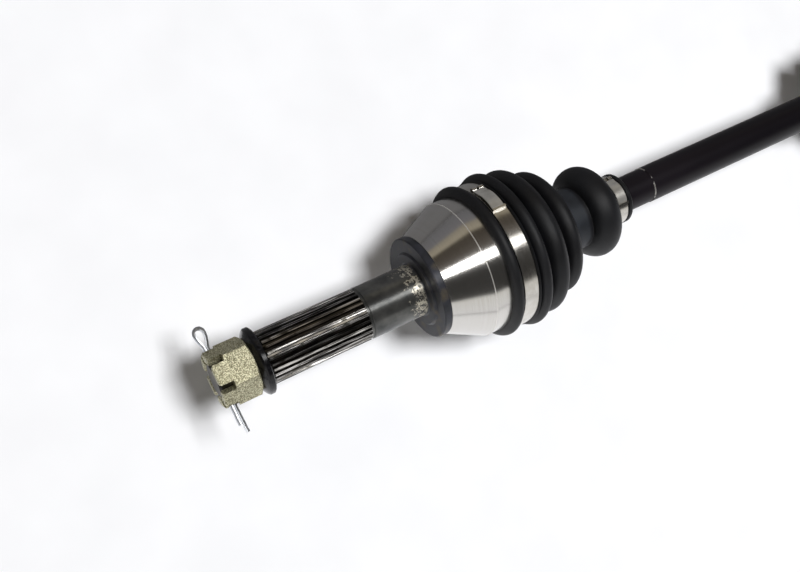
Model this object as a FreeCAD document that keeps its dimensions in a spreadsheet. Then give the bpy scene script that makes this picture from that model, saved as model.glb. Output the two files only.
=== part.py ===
import FreeCAD, Part
import math
import os

import Sketcher
from FreeCAD import Placement, Rotation, Vector

# A CV axle: wheel-end stub and ball joint on the left, bare shaft, plunging tripod joint and
# gearbox stub on the right. +X runs along the axle from the wheel to the gearbox, +Z is up, and
# the origin is on the axle's axis where the wheel bearing's seat ends at the shoulder.
# All lengths are millimetres and all angles degrees.

SIZES = {
    # wheel-end stub: seat, hub spline, thread
    "seat_rad": 14.0,
    "seat_len": 30.5,
    "seat_fillet": 1.0,
    "relief_len": 1.5,
    "relief_depth": 0.7,
    "spline_drop": 0.1,
    "hub_spline_len": 53.6,
    "hub_tooth_depth": 1.1,
    "hub_teeth": 28,
    "neck_rise": 1.9,
    "neck_len": 3.0,
    "thread_drop": 5.0,
    "thread_recess": 0.4,
    # slotted nut, split pin and conical washer
    "nut_height": 20.0,
    "nut_roll": 22.6,
    "slot_width": 4.5,
    "slot_depth": 7.0,
    "pin_setback": 3.8,
    "pin_rad": 1.8,
    "pin_hole_rad": 2.1,
    "pin_leg_gap": 0.25,
    "pin_short_end": 12.0,
    "pin_long_end": 16.5,
    "pin_eye_gap": 1.0,
    "pin_eye_len": 11.0,
    "pin_eye_width": 7.6,
    "pin_eye_wire": 1.5,
    "pin_eye_thick": 2.6,
    "washer_rim_width": 4.0,
    "washer_play": 0.3,
    "washer_dish": 2.2,
    "washer_thick": 3.2,
    # shoulder and bell of the wheel-end joint
    "abut_rise": 5.3,
    "abut_height": 1.0,
    "shoulder_rise": 13.5,
    "shoulder_len": 3.9,
    "cone_len": 20.6,
    "cone_drop": 0.35,
    "ridge_len": 0.5,
    "bell_wall": 5.3,
    "rim_after_joint": 23.8,
    "boot_groove_depth": 0.8,
    # ball joint
    "sphere_bite": 1.2,
    "ball_rad": 7.0,
    "ball_circle": 22.9,
    "cage_half_wall": 2.1,
    "cage_bar": 4.5,
    "window_side": 3.0,
    "window_play": 0.3,
    "sphere_play": 0.3,
    "race_half_width": 8.5,
    "race_track_play": 1.0,
    "bell_track_play": 2.3,
    "track_back": 38.0,
    "track_front": 60.0,
    "mouth_start": 10.5,
    "mouth_slope": 0.85,
    # shaft
    "shaft_rad": 10.2,
    "land_step": 0.25,
    "shaft_spline_step": 0.9,
    "shaft_tooth_depth": 0.8,
    "shaft_teeth": 22,
    "shaft_tip": 2.2,
    "spline_play": 0.05,
    "land_before_collar": 19.4,
    "land_past_collar": 19.6,
    "inner_land_lead": 6.0,
    "inner_land_len": 43.0,
    "clip_thick": 1.4,
    "clip_play": 0.1,
    "clip_depth": 0.9,
    "clip_rise": 1.9,
    # wheel-end boot
    "boot_wall": 2.6,
    "boot_play": 0.3,
    "lip_rise": 4.8,
    "lip_len": 6.0,
    "band_land_rise": 1.7,
    "band_land_len": 8.7,
    "boot_overlap": 18.2,
    "fold_one_gap": 0.5,
    "fold_one_rise": 5.7,
    "fold_two_gap": 13.3,
    "fold_two_rise": 3.3,
    "fold_three_gap": 27.1,
    "fold_three_drop": 2.7,
    "valley_one_drop": 2.0,
    "valley_two_drop": 6.5,
    "fold_half": 3.6,
    "sleeve_gap": 34.2,
    "sleeve_rise": 7.4,
    "bead_gap": 58.8,
    "bead_rise": 15.8,
    "bead_half": 8.8,
    "collar_wall": 2.95,
    "collar_lip_rise": 1.4,
    "collar_lip_len": 3.4,
    # clamps
    "clamp_thick": 0.75,
    "clamp_play": 0.3,
    "big_clamp_width": 8.3,
    "small_clamp_width": 7.4,
    # plunging tripod joint
    "joint_distance": 395.0,
    "roller_gap": 0.9,
    "roller_rad": 12.5,
    "roller_width": 11.0,
    "needle_play": 0.35,
    "track_play": 1.4,
    "trunnion_rad": 7.2,
    "trunnion_len": 8.4,
    "needle_rad": 0.9,
    "needle_len": 9.6,
    "needle_count": 24,
    "retainer_thick": 1.0,
    "retainer_rise": 0.65,
    "hub_wall": 5.3,
    "hub_half": 8.5,
    "trunnion_room": 1.9,
    "hub_room": 2.7,
    "mouth_flare": 1.3,
    "rim_before": 38.0,
    "floor_after": 34.0,
    "stop_before": 33.5,
    "stop_wire_rad": 1.0,
    "stop_ring_drop": 1.7,
    "tulip_wall": 6.2,
    "tulip_floor": 8.0,
    # inner boot
    "inner_boot_len": 90.0,
    "inner_fold_count": 5,
    "inner_split_fold": 2,
    "inner_first_rise": 20.8,
    "inner_last_rise": 3.5,
    "inner_fold_depth": 5.5,
    # gearbox stub
    "journal_rad": 15.0,
    "journal_len": 21.0,
    "stub_neck_len": 4.0,
    "stub_neck_rad": 11.3,
    "box_spline_rad": 12.7,
    "box_spline_len": 32.0,
    "box_tooth_depth": 1.1,
    "box_teeth": 26,
    "box_clip_rad": 12.6,
    "box_clip_back": 5.0,
    "tip_chamfer": 1.2,
}

X_AXIS = Vector(1, 0, 0)
ORIGIN = Vector(0, 0, 0)
ALONG_X = Rotation(Vector(0, 1, 0), 90)      # turns a shape drawn along +Z to lie along +X
GAP_FLOOR_SHARE = 0.17                       # half a spline gap's width over the tooth pitch:
GAP_MOUTH_SHARE = 0.33                       # at its floor, and just outside the crests

doc = FreeCAD.newDocument("cv_axle")
nodes = []


class Size:
    """A length together with the sheet expression that gives it, so a drawing stays bound."""

    def __init__(self, number, text):
        self.number = number
        self.text = text

    def combine(self, sign, other, number):
        text = other.text if isinstance(other, Size) else repr(float(other))
        return Size(number, "(%s %s %s)" % (self.text, sign, text))

    def __add__(self, other):
        return self.combine("+", other, self.number + plain(other))

    def __sub__(self, other):
        return self.combine("-", other, self.number - plain(other))

    def __mul__(self, other):
        return self.combine("*", other, self.number * plain(other))

    def __truediv__(self, other):
        return self.combine("/", other, self.number / plain(other))

    def __neg__(self):
        return self * -1.0


def plain(size):
    """The number of a Size or of a bare number."""
    return size.number if isinstance(size, Size) else float(size)


class Sheet:
    """The spreadsheet of driving sizes, read as attributes."""

    def __init__(self):
        sheet = doc.addObject("Spreadsheet::Sheet", "Sizes")
        for row, (name, number) in enumerate(SIZES.items(), start=1):
            sheet.set("A%d" % row, name)
            sheet.set("B%d" % row, repr(number))
            sheet.setAlias("B%d" % row, name)
        doc.recompute()
        self.sheet = sheet

    def __getattr__(self, name):
        return Size(float(self.sheet.get(name)), "Sizes." + name)


S = Sheet()


# ---------------------------------------------------------------- drawing helpers

def bind(thing, name, size):
    """Drives one property of an object from the sheet, or sets it when it is a bare number."""
    if isinstance(size, Size):
        thing.setExpression(name, size.text)
    else:
        setattr(thing, name, size)


def shift_x(thing, size):
    """Moves a finished object along the axle to a place given by the sheet."""
    thing.setExpression(".Placement.Base.x", size.text)


def publish(thing, label):
    """Names an object as a sub-part, so that it is written out."""
    thing.Label = label
    nodes.append(thing)
    return thing


def plane(body, role):
    """One of the body's own origin planes or axes, by its role."""
    for feature in body.Origin.OriginFeatures:
        if feature.Role == role:
            return feature
    raise ValueError(role)


def closed_sketch(body, name, role, points, offset=None):
    """A sketch on an origin plane: straight lines through the points, each corner bound."""
    sketch = body.newObject("Sketcher::SketchObject", name)
    sketch.AttachmentSupport = [(plane(body, role), "")]
    sketch.MapMode = "FlatFace"
    if offset is not None:
        sketch.AttachmentOffset = Placement(Vector(0, 0, plain(offset)), Rotation())
        sketch.setExpression("AttachmentOffset.Base.z", offset.text)
    count = len(points)
    corners = [Vector(plain(u), plain(v), 0) for u, v in points]
    for i in range(count):
        sketch.addGeometry(Part.LineSegment(corners[i], corners[(i + 1) % count]), False)
    joins = [Sketcher.Constraint("Coincident", i, 2, (i + 1) % count, 1) for i in range(count)]
    sketch.addConstraint(joins)
    for i, (u, v) in enumerate(points):
        for kind, size in (("DistanceX", u), ("DistanceY", v)):
            index = sketch.addConstraint(Sketcher.Constraint(kind, -1, 1, i, 1, plain(size)))
            if isinstance(size, Size):
                sketch.setExpression("Constraints[%d]" % index, size.text)
    return sketch


def turned(name, outline):
    """A body turned about X from an outline of (x, radius) corners."""
    body = doc.addObject("PartDesign::Body", name)
    sketch = closed_sketch(body, name + "_outline", "XY_Plane", outline)
    turn = body.newObject("PartDesign::Revolution", name + "_turn")
    turn.Profile = sketch
    turn.ReferenceAxis = (sketch, ["H_Axis"])
    turn.Angle = 360.0
    doc.recompute()
    return body


def cut_gaps(body, name, start, length, crest, depth, teeth):
    """Cuts the gaps of a straight spline into a turned bar, one pocket patterned about X."""
    pitch = 2 * math.pi / plain(teeth)
    root = crest - depth
    floor_half = root * math.sin(pitch * GAP_FLOOR_SHARE)
    mouth = crest + depth * 0.5
    mouth_half = mouth * math.sin(pitch * GAP_MOUTH_SHARE)
    section = [(-floor_half, root), (floor_half, root), (mouth_half, mouth), (-mouth_half, mouth)]
    sketch = closed_sketch(body, name + "_gap", "YZ_Plane", section, offset=start)
    pocket = body.newObject("PartDesign::Pocket", name + "_pocket")
    pocket.Profile = sketch
    bind(pocket, "Length", length)
    pocket.Reversed = True
    pattern_round(body, name, pocket, teeth)


def pattern_round(body, name, feature, count, axis_role="X_Axis"):
    """Repeats a feature evenly about one of the body's origin axes, and checks that it cut."""
    doc.recompute()
    before = body.Shape.Volume
    pattern = body.newObject("PartDesign::PolarPattern", name + "_pattern")
    pattern.Originals = [feature]
    pattern.Axis = (plane(body, axis_role), [""])
    pattern.Angle = 360.0
    bind(pattern, "Occurrences", count)
    body.Tip = pattern
    doc.recompute()
    if body.Shape.Volume >= before:
        raise ValueError(name + " pattern cut nothing")


def primitive(kind, name, **sizes):
    """A Part primitive with each property bound to the sheet."""
    thing = doc.addObject(kind, name)
    for key, size in sizes.items():
        bind(thing, key, size)
    return thing


def cylinder_x(name, radius, start, length):
    """A round bar along X."""
    bar = primitive("Part::Cylinder", name, Radius=radius, Height=length)
    bar.Placement = Placement(Vector(plain(start), 0, 0), ALONG_X)
    if isinstance(start, Size):
        bar.setExpression(".Placement.Base.x", start.text)
    return bar


def cone_x(name, start, length, first, last):
    """A cone along X, from radius first at start to radius last."""
    cone = primitive("Part::Cone", name, Radius1=first, Radius2=last, Height=length)
    cone.Placement = Placement(Vector(plain(start), 0, 0), ALONG_X)
    if isinstance(start, Size):
        cone.setExpression(".Placement.Base.x", start.text)
    return cone


def joined(name, things):
    """The union of several objects."""
    fuse = doc.addObject("Part::MultiFuse", name)
    fuse.Shapes = things
    return fuse


def cut(name, base, tool):
    """One object less another."""
    result = doc.addObject("Part::Cut", name)
    result.Base = base
    result.Tool = tool
    return result


def common(name, things):
    """What several objects share."""
    result = doc.addObject("Part::MultiCommon", name)
    result.Shapes = things
    return result


def around_x(degrees):
    """A turn about the axle from +Z towards -Y."""
    return Rotation(X_AXIS, degrees)


# ---------------------------------------------------------------- radii that follow other sizes

thread_rad = S.seat_rad - S.thread_drop
hub_spline_rad = S.seat_rad - S.spline_drop
neck_rad = thread_rad + S.neck_rise
abut_rad = S.seat_rad + S.abut_rise
shoulder_rad = S.seat_rad + S.shoulder_rise
nut_flats = thread_rad * 3.0
nut_corner = nut_flats / math.sqrt(3.0)
washer_rad = nut_flats * 0.5 + S.washer_rim_width
washer_bore = thread_rad + S.washer_play
pin_eye_base = nut_corner + S.pin_eye_gap
pin_short_leg = nut_flats * 0.5 + S.pin_short_end
pin_long_leg = nut_flats * 0.5 + S.pin_long_end
pin_roll = plain(S.nut_roll) + 60.0             # through the nut's second pair of slots

cage_out_rad = S.ball_circle + S.cage_half_wall
cage_in_rad = S.ball_circle - S.cage_half_wall
cage_half_width = S.ball_rad + S.cage_bar
window_length = S.ball_rad * 2.0 + S.window_side
sphere_rad = cage_out_rad + S.sphere_play
bell_rad = S.ball_circle + S.ball_rad + S.bell_track_play + S.bell_wall
cone_end_rad = bell_rad - S.cone_drop

land_rad = S.shaft_rad - S.land_step
shaft_spline_rad = S.shaft_rad - S.shaft_spline_step
clip_rad = shaft_spline_rad + S.clip_rise
hub_rad = shaft_spline_rad + S.hub_wall

roller_circle = hub_rad + S.roller_gap + S.roller_width * 0.5
roller_bore = S.trunnion_rad + S.needle_rad * 2.0 + S.needle_play
retainer_rad = roller_bore + S.retainer_rise
core_rad = hub_rad + S.hub_room
hub_track_rad = roller_circle + S.trunnion_len + S.trunnion_room
inner_mouth_rad = hub_track_rad + S.mouth_flare
stop_ring_rad = hub_track_rad - S.stop_ring_drop
tulip_rad = hub_track_rad + S.tulip_wall

fold_one_rad = bell_rad + S.fold_one_rise
fold_two_rad = bell_rad + S.fold_two_rise
fold_three_rad = bell_rad - S.fold_three_drop
valley_one_rad = bell_rad - S.valley_one_drop
valley_two_rad = bell_rad - S.valley_two_drop
sleeve_rad = S.shaft_rad + S.sleeve_rise
bead_rad = S.shaft_rad + S.bead_rise
collar_rad = land_rad + S.collar_wall
collar_lip_rad = collar_rad + S.collar_lip_rise
outer_lip_rad = bell_rad + S.lip_rise
outer_band_rad = bell_rad + S.band_land_rise
inner_lip_rad = tulip_rad + S.lip_rise
inner_band_rad = tulip_rad + S.band_land_rise
inner_first_rad = S.shaft_rad + S.inner_first_rise
inner_last_rad = tulip_rad + S.inner_last_rise


# ---------------------------------------------------------------- places along the axle

seat_start = -S.seat_len
spline_end = seat_start - S.relief_len
spline_start = spline_end - S.hub_spline_len
neck_start = spline_start - S.neck_len
washer_rim = washer_rad - 1.1
cone_share = (washer_rim - neck_rad) / (washer_rim - washer_bore)
washer_face = neck_start + S.washer_dish * cone_share - 0.1
nut_face = washer_face - S.washer_dish - S.washer_thick
nut_end = nut_face - S.nut_height
stub_end = nut_end + S.thread_recess
pin_x = nut_end + S.pin_setback

shoulder_face = S.seat_fillet + S.abut_height
shoulder_end = shoulder_face + S.shoulder_len
cone_start = shoulder_end + 0.5
cone_end = cone_start + S.cone_len - 0.5
ball_joint_x = shoulder_end + sphere_rad - S.sphere_bite
bell_rim = ball_joint_x + S.rim_after_joint

race_start = ball_joint_x - S.race_half_width
race_end = ball_joint_x + S.race_half_width
outer_clip_x = race_start - S.clip_play - S.clip_thick
shaft_start = outer_clip_x - S.clip_play - S.shaft_tip

tripod_x = ball_joint_x + S.joint_distance
spider_start = tripod_x - S.hub_half
spider_end = tripod_x + S.hub_half
inner_clip_x = spider_end + S.clip_play
shaft_end = inner_clip_x + S.clip_thick + S.clip_play + S.shaft_tip

tulip_rim = tripod_x - S.rim_before
tulip_floor_x = tripod_x + S.floor_after
tulip_back = tulip_floor_x + S.tulip_floor
journal_end = tulip_back + S.journal_len
box_spline_start = journal_end + S.stub_neck_len
box_spline_end = box_spline_start + S.box_spline_len
box_clip_x = box_spline_end - S.box_clip_back

boot_seat_x = bell_rim - S.boot_overlap
band_start = boot_seat_x + S.lip_len
band_end = band_start + S.band_land_len
fold_one_x = bell_rim + S.fold_one_gap
fold_two_x = bell_rim + S.fold_two_gap
fold_three_x = bell_rim + S.fold_three_gap
sleeve_x = bell_rim + S.sleeve_gap
bead_x = bell_rim + S.bead_gap
collar_start = bead_x + S.bead_half + 2.0
collar_band_end = collar_start + S.small_clamp_width + 0.4
collar_end = collar_band_end + S.collar_lip_len
outer_land_start = collar_start - S.land_before_collar
outer_land_end = collar_end + S.land_past_collar

inner_collar_start = tulip_rim - S.inner_boot_len
inner_collar_band = inner_collar_start + S.collar_lip_len
inner_collar_end = inner_collar_band + S.small_clamp_width + 0.4
inner_land_start = inner_collar_start - S.inner_land_lead
inner_land_end = inner_land_start + S.inner_land_len
inner_band_end = tulip_rim + 18.0
inner_band_start = inner_band_end - S.band_land_len
inner_lip_end = inner_band_end + S.lip_len
inner_fold_from = inner_collar_end + 4.0
inner_fold_to = tulip_rim - 1.5


# ---------------------------------------------------------------- wheel-end housing and stub

def outer_housing():
    """Threaded and splined stub, shoulder disc and bell, forged in one; the inside is cut later."""
    groove = bell_rad - S.boot_groove_depth
    spline_root = hub_spline_rad - S.hub_tooth_depth
    outline = [
        (stub_end, 0.0),
        (stub_end, thread_rad - S.tip_chamfer),
        (stub_end + S.tip_chamfer, thread_rad),
        (neck_start, thread_rad),
        (neck_start, neck_rad),
        (spline_start - 1.2, neck_rad),
        (spline_start - 1.2, spline_root - 0.1),
        (spline_start, hub_spline_rad),
        (spline_end, hub_spline_rad),
        (spline_end, S.seat_rad - S.relief_depth),
        (seat_start, S.seat_rad - S.relief_depth),
        (seat_start, S.seat_rad - 0.4),
        (seat_start + 0.4, S.seat_rad),
        (S.seat_fillet, S.seat_rad),
        (S.seat_fillet, abut_rad),
        (shoulder_face, abut_rad + S.abut_height),
        (shoulder_face, shoulder_rad - 0.6),
        (shoulder_face + 0.6, shoulder_rad),
        (shoulder_end, shoulder_rad),
        (shoulder_end, shoulder_rad - 0.6),
        (cone_start, shoulder_rad - 0.6),
        (cone_start, shoulder_rad - 0.2),
        (cone_end, cone_end_rad),
        (cone_end + S.ridge_len, bell_rad),
        (band_start - 3.6, bell_rad),
        (band_start - 3.2, groove),
        (band_end - 0.8, groove),
        (band_end - 0.4, bell_rad),
        (bell_rim - 0.8, bell_rad),
        (bell_rim, bell_rad - 0.8),
        (bell_rim, 0.0),
    ]
    blank = turned("housing_blank", outline)
    cut_gaps(blank, "hub_spline", spline_start - 1.3, S.hub_spline_len + 1.3, hub_spline_rad,
             S.hub_tooth_depth, S.hub_teeth)
    corner = [
        "Edge%d" % (i + 1)
        for i, edge in enumerate(blank.Shape.Edges)
        if isinstance(edge.Curve, Part.Circle)
        and abs(edge.Curve.Radius - plain(S.seat_rad)) < 0.01
        and abs(edge.Curve.Center.x - plain(S.seat_fillet)) < 0.01
    ]
    unrounded = blank.Tip
    fillet = blank.newObject("PartDesign::Fillet", "seat_corner")
    fillet.Base = (unrounded, corner)
    bind(fillet, "Radius", S.seat_fillet)
    blank.Tip = fillet
    doc.recompute()

    tools = [primitive("Part::Sphere", "bell_sphere", Radius=sphere_rad)]
    shift_x(tools[0], ball_joint_x)
    mouth_from = ball_joint_x + S.mouth_start
    mouth_len = bell_rim - mouth_from
    tools.append(cone_x("bell_mouth", mouth_from, mouth_len, S.ball_circle,
                        S.ball_circle + mouth_len * S.mouth_slope))
    for k in range(6):
        tools.append(ball_track("bell_track_%d" % (k + 1), 60.0 * k, S.bell_track_play))
    hole = primitive("Part::Cylinder", "pin_hole", Radius=S.pin_hole_rad, Height=40.0)
    hole.Placement = Placement(ORIGIN, around_x(pin_roll)).multiply(
        Placement(Vector(0, 0, -20), Rotation()))
    shift_x(hole, pin_x)
    tools.append(hole)
    publish(cut("outer_housing", blank, joined("housing_cuts", tools)), "outer_housing")


def ball_track(name, degrees, play):
    """Part of a ring about the joint's centre, the space a ball sweeps in its track."""
    track = primitive("Part::Torus", name, Radius1=S.ball_circle, Radius2=S.ball_rad + play)
    track.Angle3 = plain(S.track_back) + plain(S.track_front)
    track.setExpression("Angle3", (S.track_back + S.track_front).text)
    # the ring is drawn about +Z: it is rolled back to where its sweep starts, then stood on edge
    rolled = Rotation(Vector(0, 0, 1), -90.0 - plain(S.track_back))
    track.Placement = Placement(ORIGIN, around_x(degrees - 90.0).multiply(rolled))
    shift_x(track, ball_joint_x)
    return track


# ---------------------------------------------------------------- nut, washer and split pin

def slotted_nut():
    """Hexagon nut with six slots across its outer end and both ends' corners turned off."""
    body = doc.addObject("PartDesign::Body", "nut")
    hexagon = [(nut_corner * math.cos(math.radians(60 * k + 30)),
                nut_corner * math.sin(math.radians(60 * k + 30))) for k in range(6)]
    prism = body.newObject("PartDesign::Pad", "nut_prism")
    prism.Profile = closed_sketch(body, "nut_hexagon", "YZ_Plane", hexagon)
    bind(prism, "Length", S.nut_height)
    doc.recompute()
    bore = body.newObject("PartDesign::Groove", "nut_bore")
    wall = thread_rad + 0.06
    bore.Profile = closed_sketch(body, "nut_bore_outline", "XY_Plane", [
        (-1.0, 0.0), (-1.0, wall + 2.0), (1.0, wall), (S.nut_height - 1.0, wall),
        (S.nut_height + 1.0, wall + 2.0), (S.nut_height + 1.0, 0.0)])
    bore.ReferenceAxis = (bore.Profile[0], ["H_Axis"])
    bore.Angle = 360.0
    doc.recompute()
    touch = nut_flats * 0.5 - 0.3
    reach = nut_corner + 1.0
    drop = (reach - touch) * math.tan(math.radians(28))
    for name, corners in (
        ("nut_outer_chamfer", [(0.0, touch), (0.0, reach), (drop, reach)]),
        ("nut_inner_chamfer", [(S.nut_height, touch), (S.nut_height, reach),
                               (S.nut_height - drop, reach)]),
    ):
        chamfer = body.newObject("PartDesign::Groove", name)
        chamfer.Profile = closed_sketch(body, name + "_outline", "XY_Plane", corners)
        chamfer.ReferenceAxis = (chamfer.Profile[0], ["H_Axis"])
        chamfer.Angle = 360.0
        doc.recompute()
    slot = body.newObject("PartDesign::Pocket", "nut_slot")
    half = S.slot_width * 0.5
    slot.Profile = closed_sketch(body, "nut_slot_outline", "YZ_Plane", [
        (-half, thread_rad * 0.5), (half, thread_rad * 0.5), (half, reach), (-half, reach)])
    bind(slot, "Length", S.slot_depth)
    slot.Reversed = True
    pattern_round(body, "nut_slot", slot, 6)
    body.Placement = Placement(Vector(plain(nut_end), 0, 0), around_x(plain(S.nut_roll)))
    shift_x(body, nut_end)
    publish(body, "slotted_nut")


def conical_washer():
    """Spring washer, hollow towards the hub."""
    face = washer_face
    body = turned("washer", [
        (face, washer_rim),
        (face, washer_rad - 0.6),
        (face - 0.6, washer_rad),
        (face - S.washer_thick + 0.7, washer_rad),
        (face - S.washer_thick - 0.2, washer_rad - 0.9),
        (nut_face, nut_flats * 0.5 - 0.2),
        (nut_face, washer_bore),
        (face - S.washer_dish, washer_bore),
    ])
    publish(body, "conical_washer")


def cotter_pin():
    """Split pin: two half-round legs side by side along the axle, and an eye at the +Y end."""
    body = doc.addObject("PartDesign::Body", "split_pin")
    half_width = S.pin_eye_width * 0.5
    wire = S.pin_eye_wire
    base = pin_eye_base
    tip = base + S.pin_eye_len
    right = [
        (S.pin_rad * 0.8, base - 2.0),
        (S.pin_rad * 0.8, base),
        (half_width * 0.8, base + S.pin_eye_len * 0.55),
        (half_width, tip - half_width * 0.7),
        (half_width * 0.75, tip - half_width * 0.35),
        (half_width * 0.3, tip),
    ]
    outer = right + [(-u, w) for u, w in reversed(right)]
    eye = body.newObject("PartDesign::Pad", "pin_eye")
    eye.Profile = closed_sketch(body, "pin_eye_outline", "XZ_Plane", outer)
    bind(eye, "Length", S.pin_eye_thick)
    eye.Midplane = True
    doc.recompute()
    inner_half = half_width - wire
    inner_tip = tip - wire
    hole = body.newObject("PartDesign::Pocket", "pin_eye_hole")
    side = [
        (inner_half * 0.75, base + S.pin_eye_len * 0.5),
        (inner_half, inner_tip - inner_half),
        (inner_half * 0.7, inner_tip - inner_half * 0.3),
    ]
    hole.Profile = closed_sketch(body, "pin_eye_hole_outline", "XZ_Plane", (
        [(0.0, base + 1.4)] + side + [(0.0, inner_tip)] + [(-u, w) for u, w in reversed(side)]))
    hole.Type = 1
    hole.Midplane = True
    doc.recompute()
    legs = []
    for name, length, turn, side in (("pin_long_leg", pin_long_leg, -90.0, 1.0),
                                     ("pin_short_leg", pin_short_leg, 90.0, -1.0)):
        leg = primitive("Part::Cylinder", name, Radius=S.pin_rad - 0.1, Height=base + length)
        leg.Angle = 180.0
        leg.Placement = Placement(Vector(side * plain(S.pin_leg_gap), 0, 0),
                                  Rotation(Vector(0, 0, 1), turn))
        leg.setExpression(".Placement.Base.x", (S.pin_leg_gap * side).text)
        leg.setExpression(".Placement.Base.z", (-length).text)
        legs.append(leg)
    pin = joined("split_pin_whole", [body] + legs)
    # the pin is drawn along Z with its eye up, then laid through the stub with the eye towards +Y
    pin.Placement = Placement(Vector(plain(pin_x), 0, 0), around_x(pin_roll + 180.0))
    shift_x(pin, pin_x)
    publish(pin, "cotter_pin")


# ---------------------------------------------------------------- ball joint

def inner_race():
    """Ball joint's inner race: a ball-shaped hub with six tracks, splined to the shaft."""
    ball = primitive("Part::Sphere", "race_sphere", Radius=cage_in_rad - S.sphere_play)
    slab = cylinder_x("race_slab", cage_in_rad, -S.race_half_width, S.race_half_width * 2.0)
    rings = []
    for k in range(3):
        ring = primitive("Part::Torus", "race_track_%d" % (k + 1), Radius1=S.ball_circle,
                         Radius2=S.ball_rad + S.race_track_play)
        ring.Placement = Placement(ORIGIN, around_x(60.0 * k).multiply(Rotation(X_AXIS, 90)))
        rings.append(ring)
    tooth = splined_hole("race", S.race_half_width)
    tools = joined("race_tools", rings + [tooth])
    race = cut("race_cut", common("race_blank", [ball, slab]), tools)
    shift_x(race, ball_joint_x)
    publish(race, "outer_inner_race")


def splined_hole(name, half_width):
    """The bar that a splined shaft end fills, with play, long enough to cut through a hub."""
    root = shaft_spline_rad + S.spline_play
    body = turned(name + "_hole", [
        (-half_width - 1.0, 0.0), (-half_width - 1.0, root), (half_width + 1.0, root),
        (half_width + 1.0, 0.0)])
    cut_gaps(body, name + "_teeth", -half_width - 2.0, half_width * 2.0 + 4.0,
             root, S.shaft_tooth_depth - S.spline_play, S.shaft_teeth)
    return body


def ball_cage():
    """Spherical cage with six windows."""
    shell = cut("cage_shell",
                primitive("Part::Sphere", "cage_outside", Radius=cage_out_rad),
                primitive("Part::Sphere", "cage_inside", Radius=cage_in_rad))
    slab = cylinder_x("cage_slab", cage_out_rad + 1.0, -cage_half_width, cage_half_width * 2.0)
    windows = []
    across = (S.ball_rad + S.window_play) * 2.0
    for k in range(6):
        window = primitive("Part::Box", "cage_window_%d" % (k + 1), Length=across,
                           Width=window_length, Height=cage_out_rad + 2.0)
        window.Placement = Placement(ORIGIN, around_x(60.0 * k))
        sine, cosine = math.sin(math.radians(60.0 * k)), math.cos(math.radians(60.0 * k))
        window.setExpression(".Placement.Base.x", (across * -0.5).text)
        window.setExpression(".Placement.Base.y", (window_length * (-0.5 * cosine)).text)
        window.setExpression(".Placement.Base.z", (window_length * (-0.5 * sine)).text)
        windows.append(window)
    cage = cut("cage_cut", common("cage_band", [shell, slab]), joined("cage_windows", windows))
    shift_x(cage, ball_joint_x)
    publish(cage, "outer_cage")


def balls():
    """Six equal balls, the first at +Z, counted towards -Y."""
    for k in range(6):
        ball = primitive("Part::Sphere", "ball_%d" % (k + 1), Radius=S.ball_rad)
        angle = math.radians(60.0 * k)
        shift_x(ball, ball_joint_x)
        ball.setExpression(".Placement.Base.y", (S.ball_circle * -math.sin(angle)).text)
        ball.setExpression(".Placement.Base.z", (S.ball_circle * math.cos(angle)).text)
        publish(ball, "outer_ball_%d" % (k + 1))


def retaining_clip(label, x, groove_rad, rim_rad):
    """Open spring ring in a shaft groove, its gap upwards."""
    body = doc.addObject("PartDesign::Body", label + "_body")
    inside = groove_rad + 0.05
    sketch = closed_sketch(body, label + "_section", "XY_Plane", [
        (0.0, inside), (S.clip_thick, inside), (S.clip_thick, rim_rad), (0.0, rim_rad)])
    turn = body.newObject("PartDesign::Revolution", label + "_turn")
    turn.Profile = sketch
    turn.ReferenceAxis = (sketch, ["H_Axis"])
    turn.Angle = 310.0
    body.Placement = Placement(Vector(plain(x), 0, 0), around_x(115.0))
    shift_x(body, x)
    publish(body, label)


# ---------------------------------------------------------------- shaft

def axle_shaft():
    """Bar with a splined end for each joint, a clip groove at each end and two boot lands."""
    groove = shaft_spline_rad - S.clip_depth
    outline = [
        (shaft_start, 0.0),
        (shaft_start, groove - 0.3),
        (shaft_start + 1.0, shaft_spline_rad - S.shaft_tooth_depth),
        (shaft_start + 1.4, shaft_spline_rad),
        (outer_clip_x - S.clip_play, shaft_spline_rad),
        (outer_clip_x - S.clip_play, groove),
        (race_start, groove),
        (race_start, shaft_spline_rad),
        (race_end + 0.2, shaft_spline_rad),
        (race_end + 0.2, S.shaft_rad - 0.2),
        (race_end + 0.4, S.shaft_rad),
        (outer_land_start, S.shaft_rad),
        (outer_land_start, land_rad),
        (outer_land_end, land_rad),
        (outer_land_end, S.shaft_rad),
        (inner_land_start, S.shaft_rad),
        (inner_land_start, land_rad),
        (inner_land_end, land_rad),
        (inner_land_end, S.shaft_rad),
        (spider_start - 0.4, S.shaft_rad),
        (spider_start - 0.2, S.shaft_rad - 0.2),
        (spider_start - 0.2, shaft_spline_rad),
        (inner_clip_x - S.clip_play, shaft_spline_rad),
        (inner_clip_x - S.clip_play, groove),
        (inner_clip_x + S.clip_thick + S.clip_play, groove),
        (inner_clip_x + S.clip_thick + S.clip_play, shaft_spline_rad),
        (shaft_end - 1.4, shaft_spline_rad),
        (shaft_end - 1.0, shaft_spline_rad - S.shaft_tooth_depth),
        (shaft_end, groove - 0.3),
        (shaft_end, 0.0),
    ]
    body = turned("shaft", outline)
    cut_gaps(body, "race_spline", shaft_start - 0.5, race_end - shaft_start + 0.5,
             shaft_spline_rad, S.shaft_tooth_depth, S.shaft_teeth)
    cut_gaps(body, "spider_spline", spider_start, shaft_end - spider_start + 0.5,
             shaft_spline_rad, S.shaft_tooth_depth, S.shaft_teeth)
    publish(body, "axle_shaft")


# ---------------------------------------------------------------- tripod joint

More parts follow.
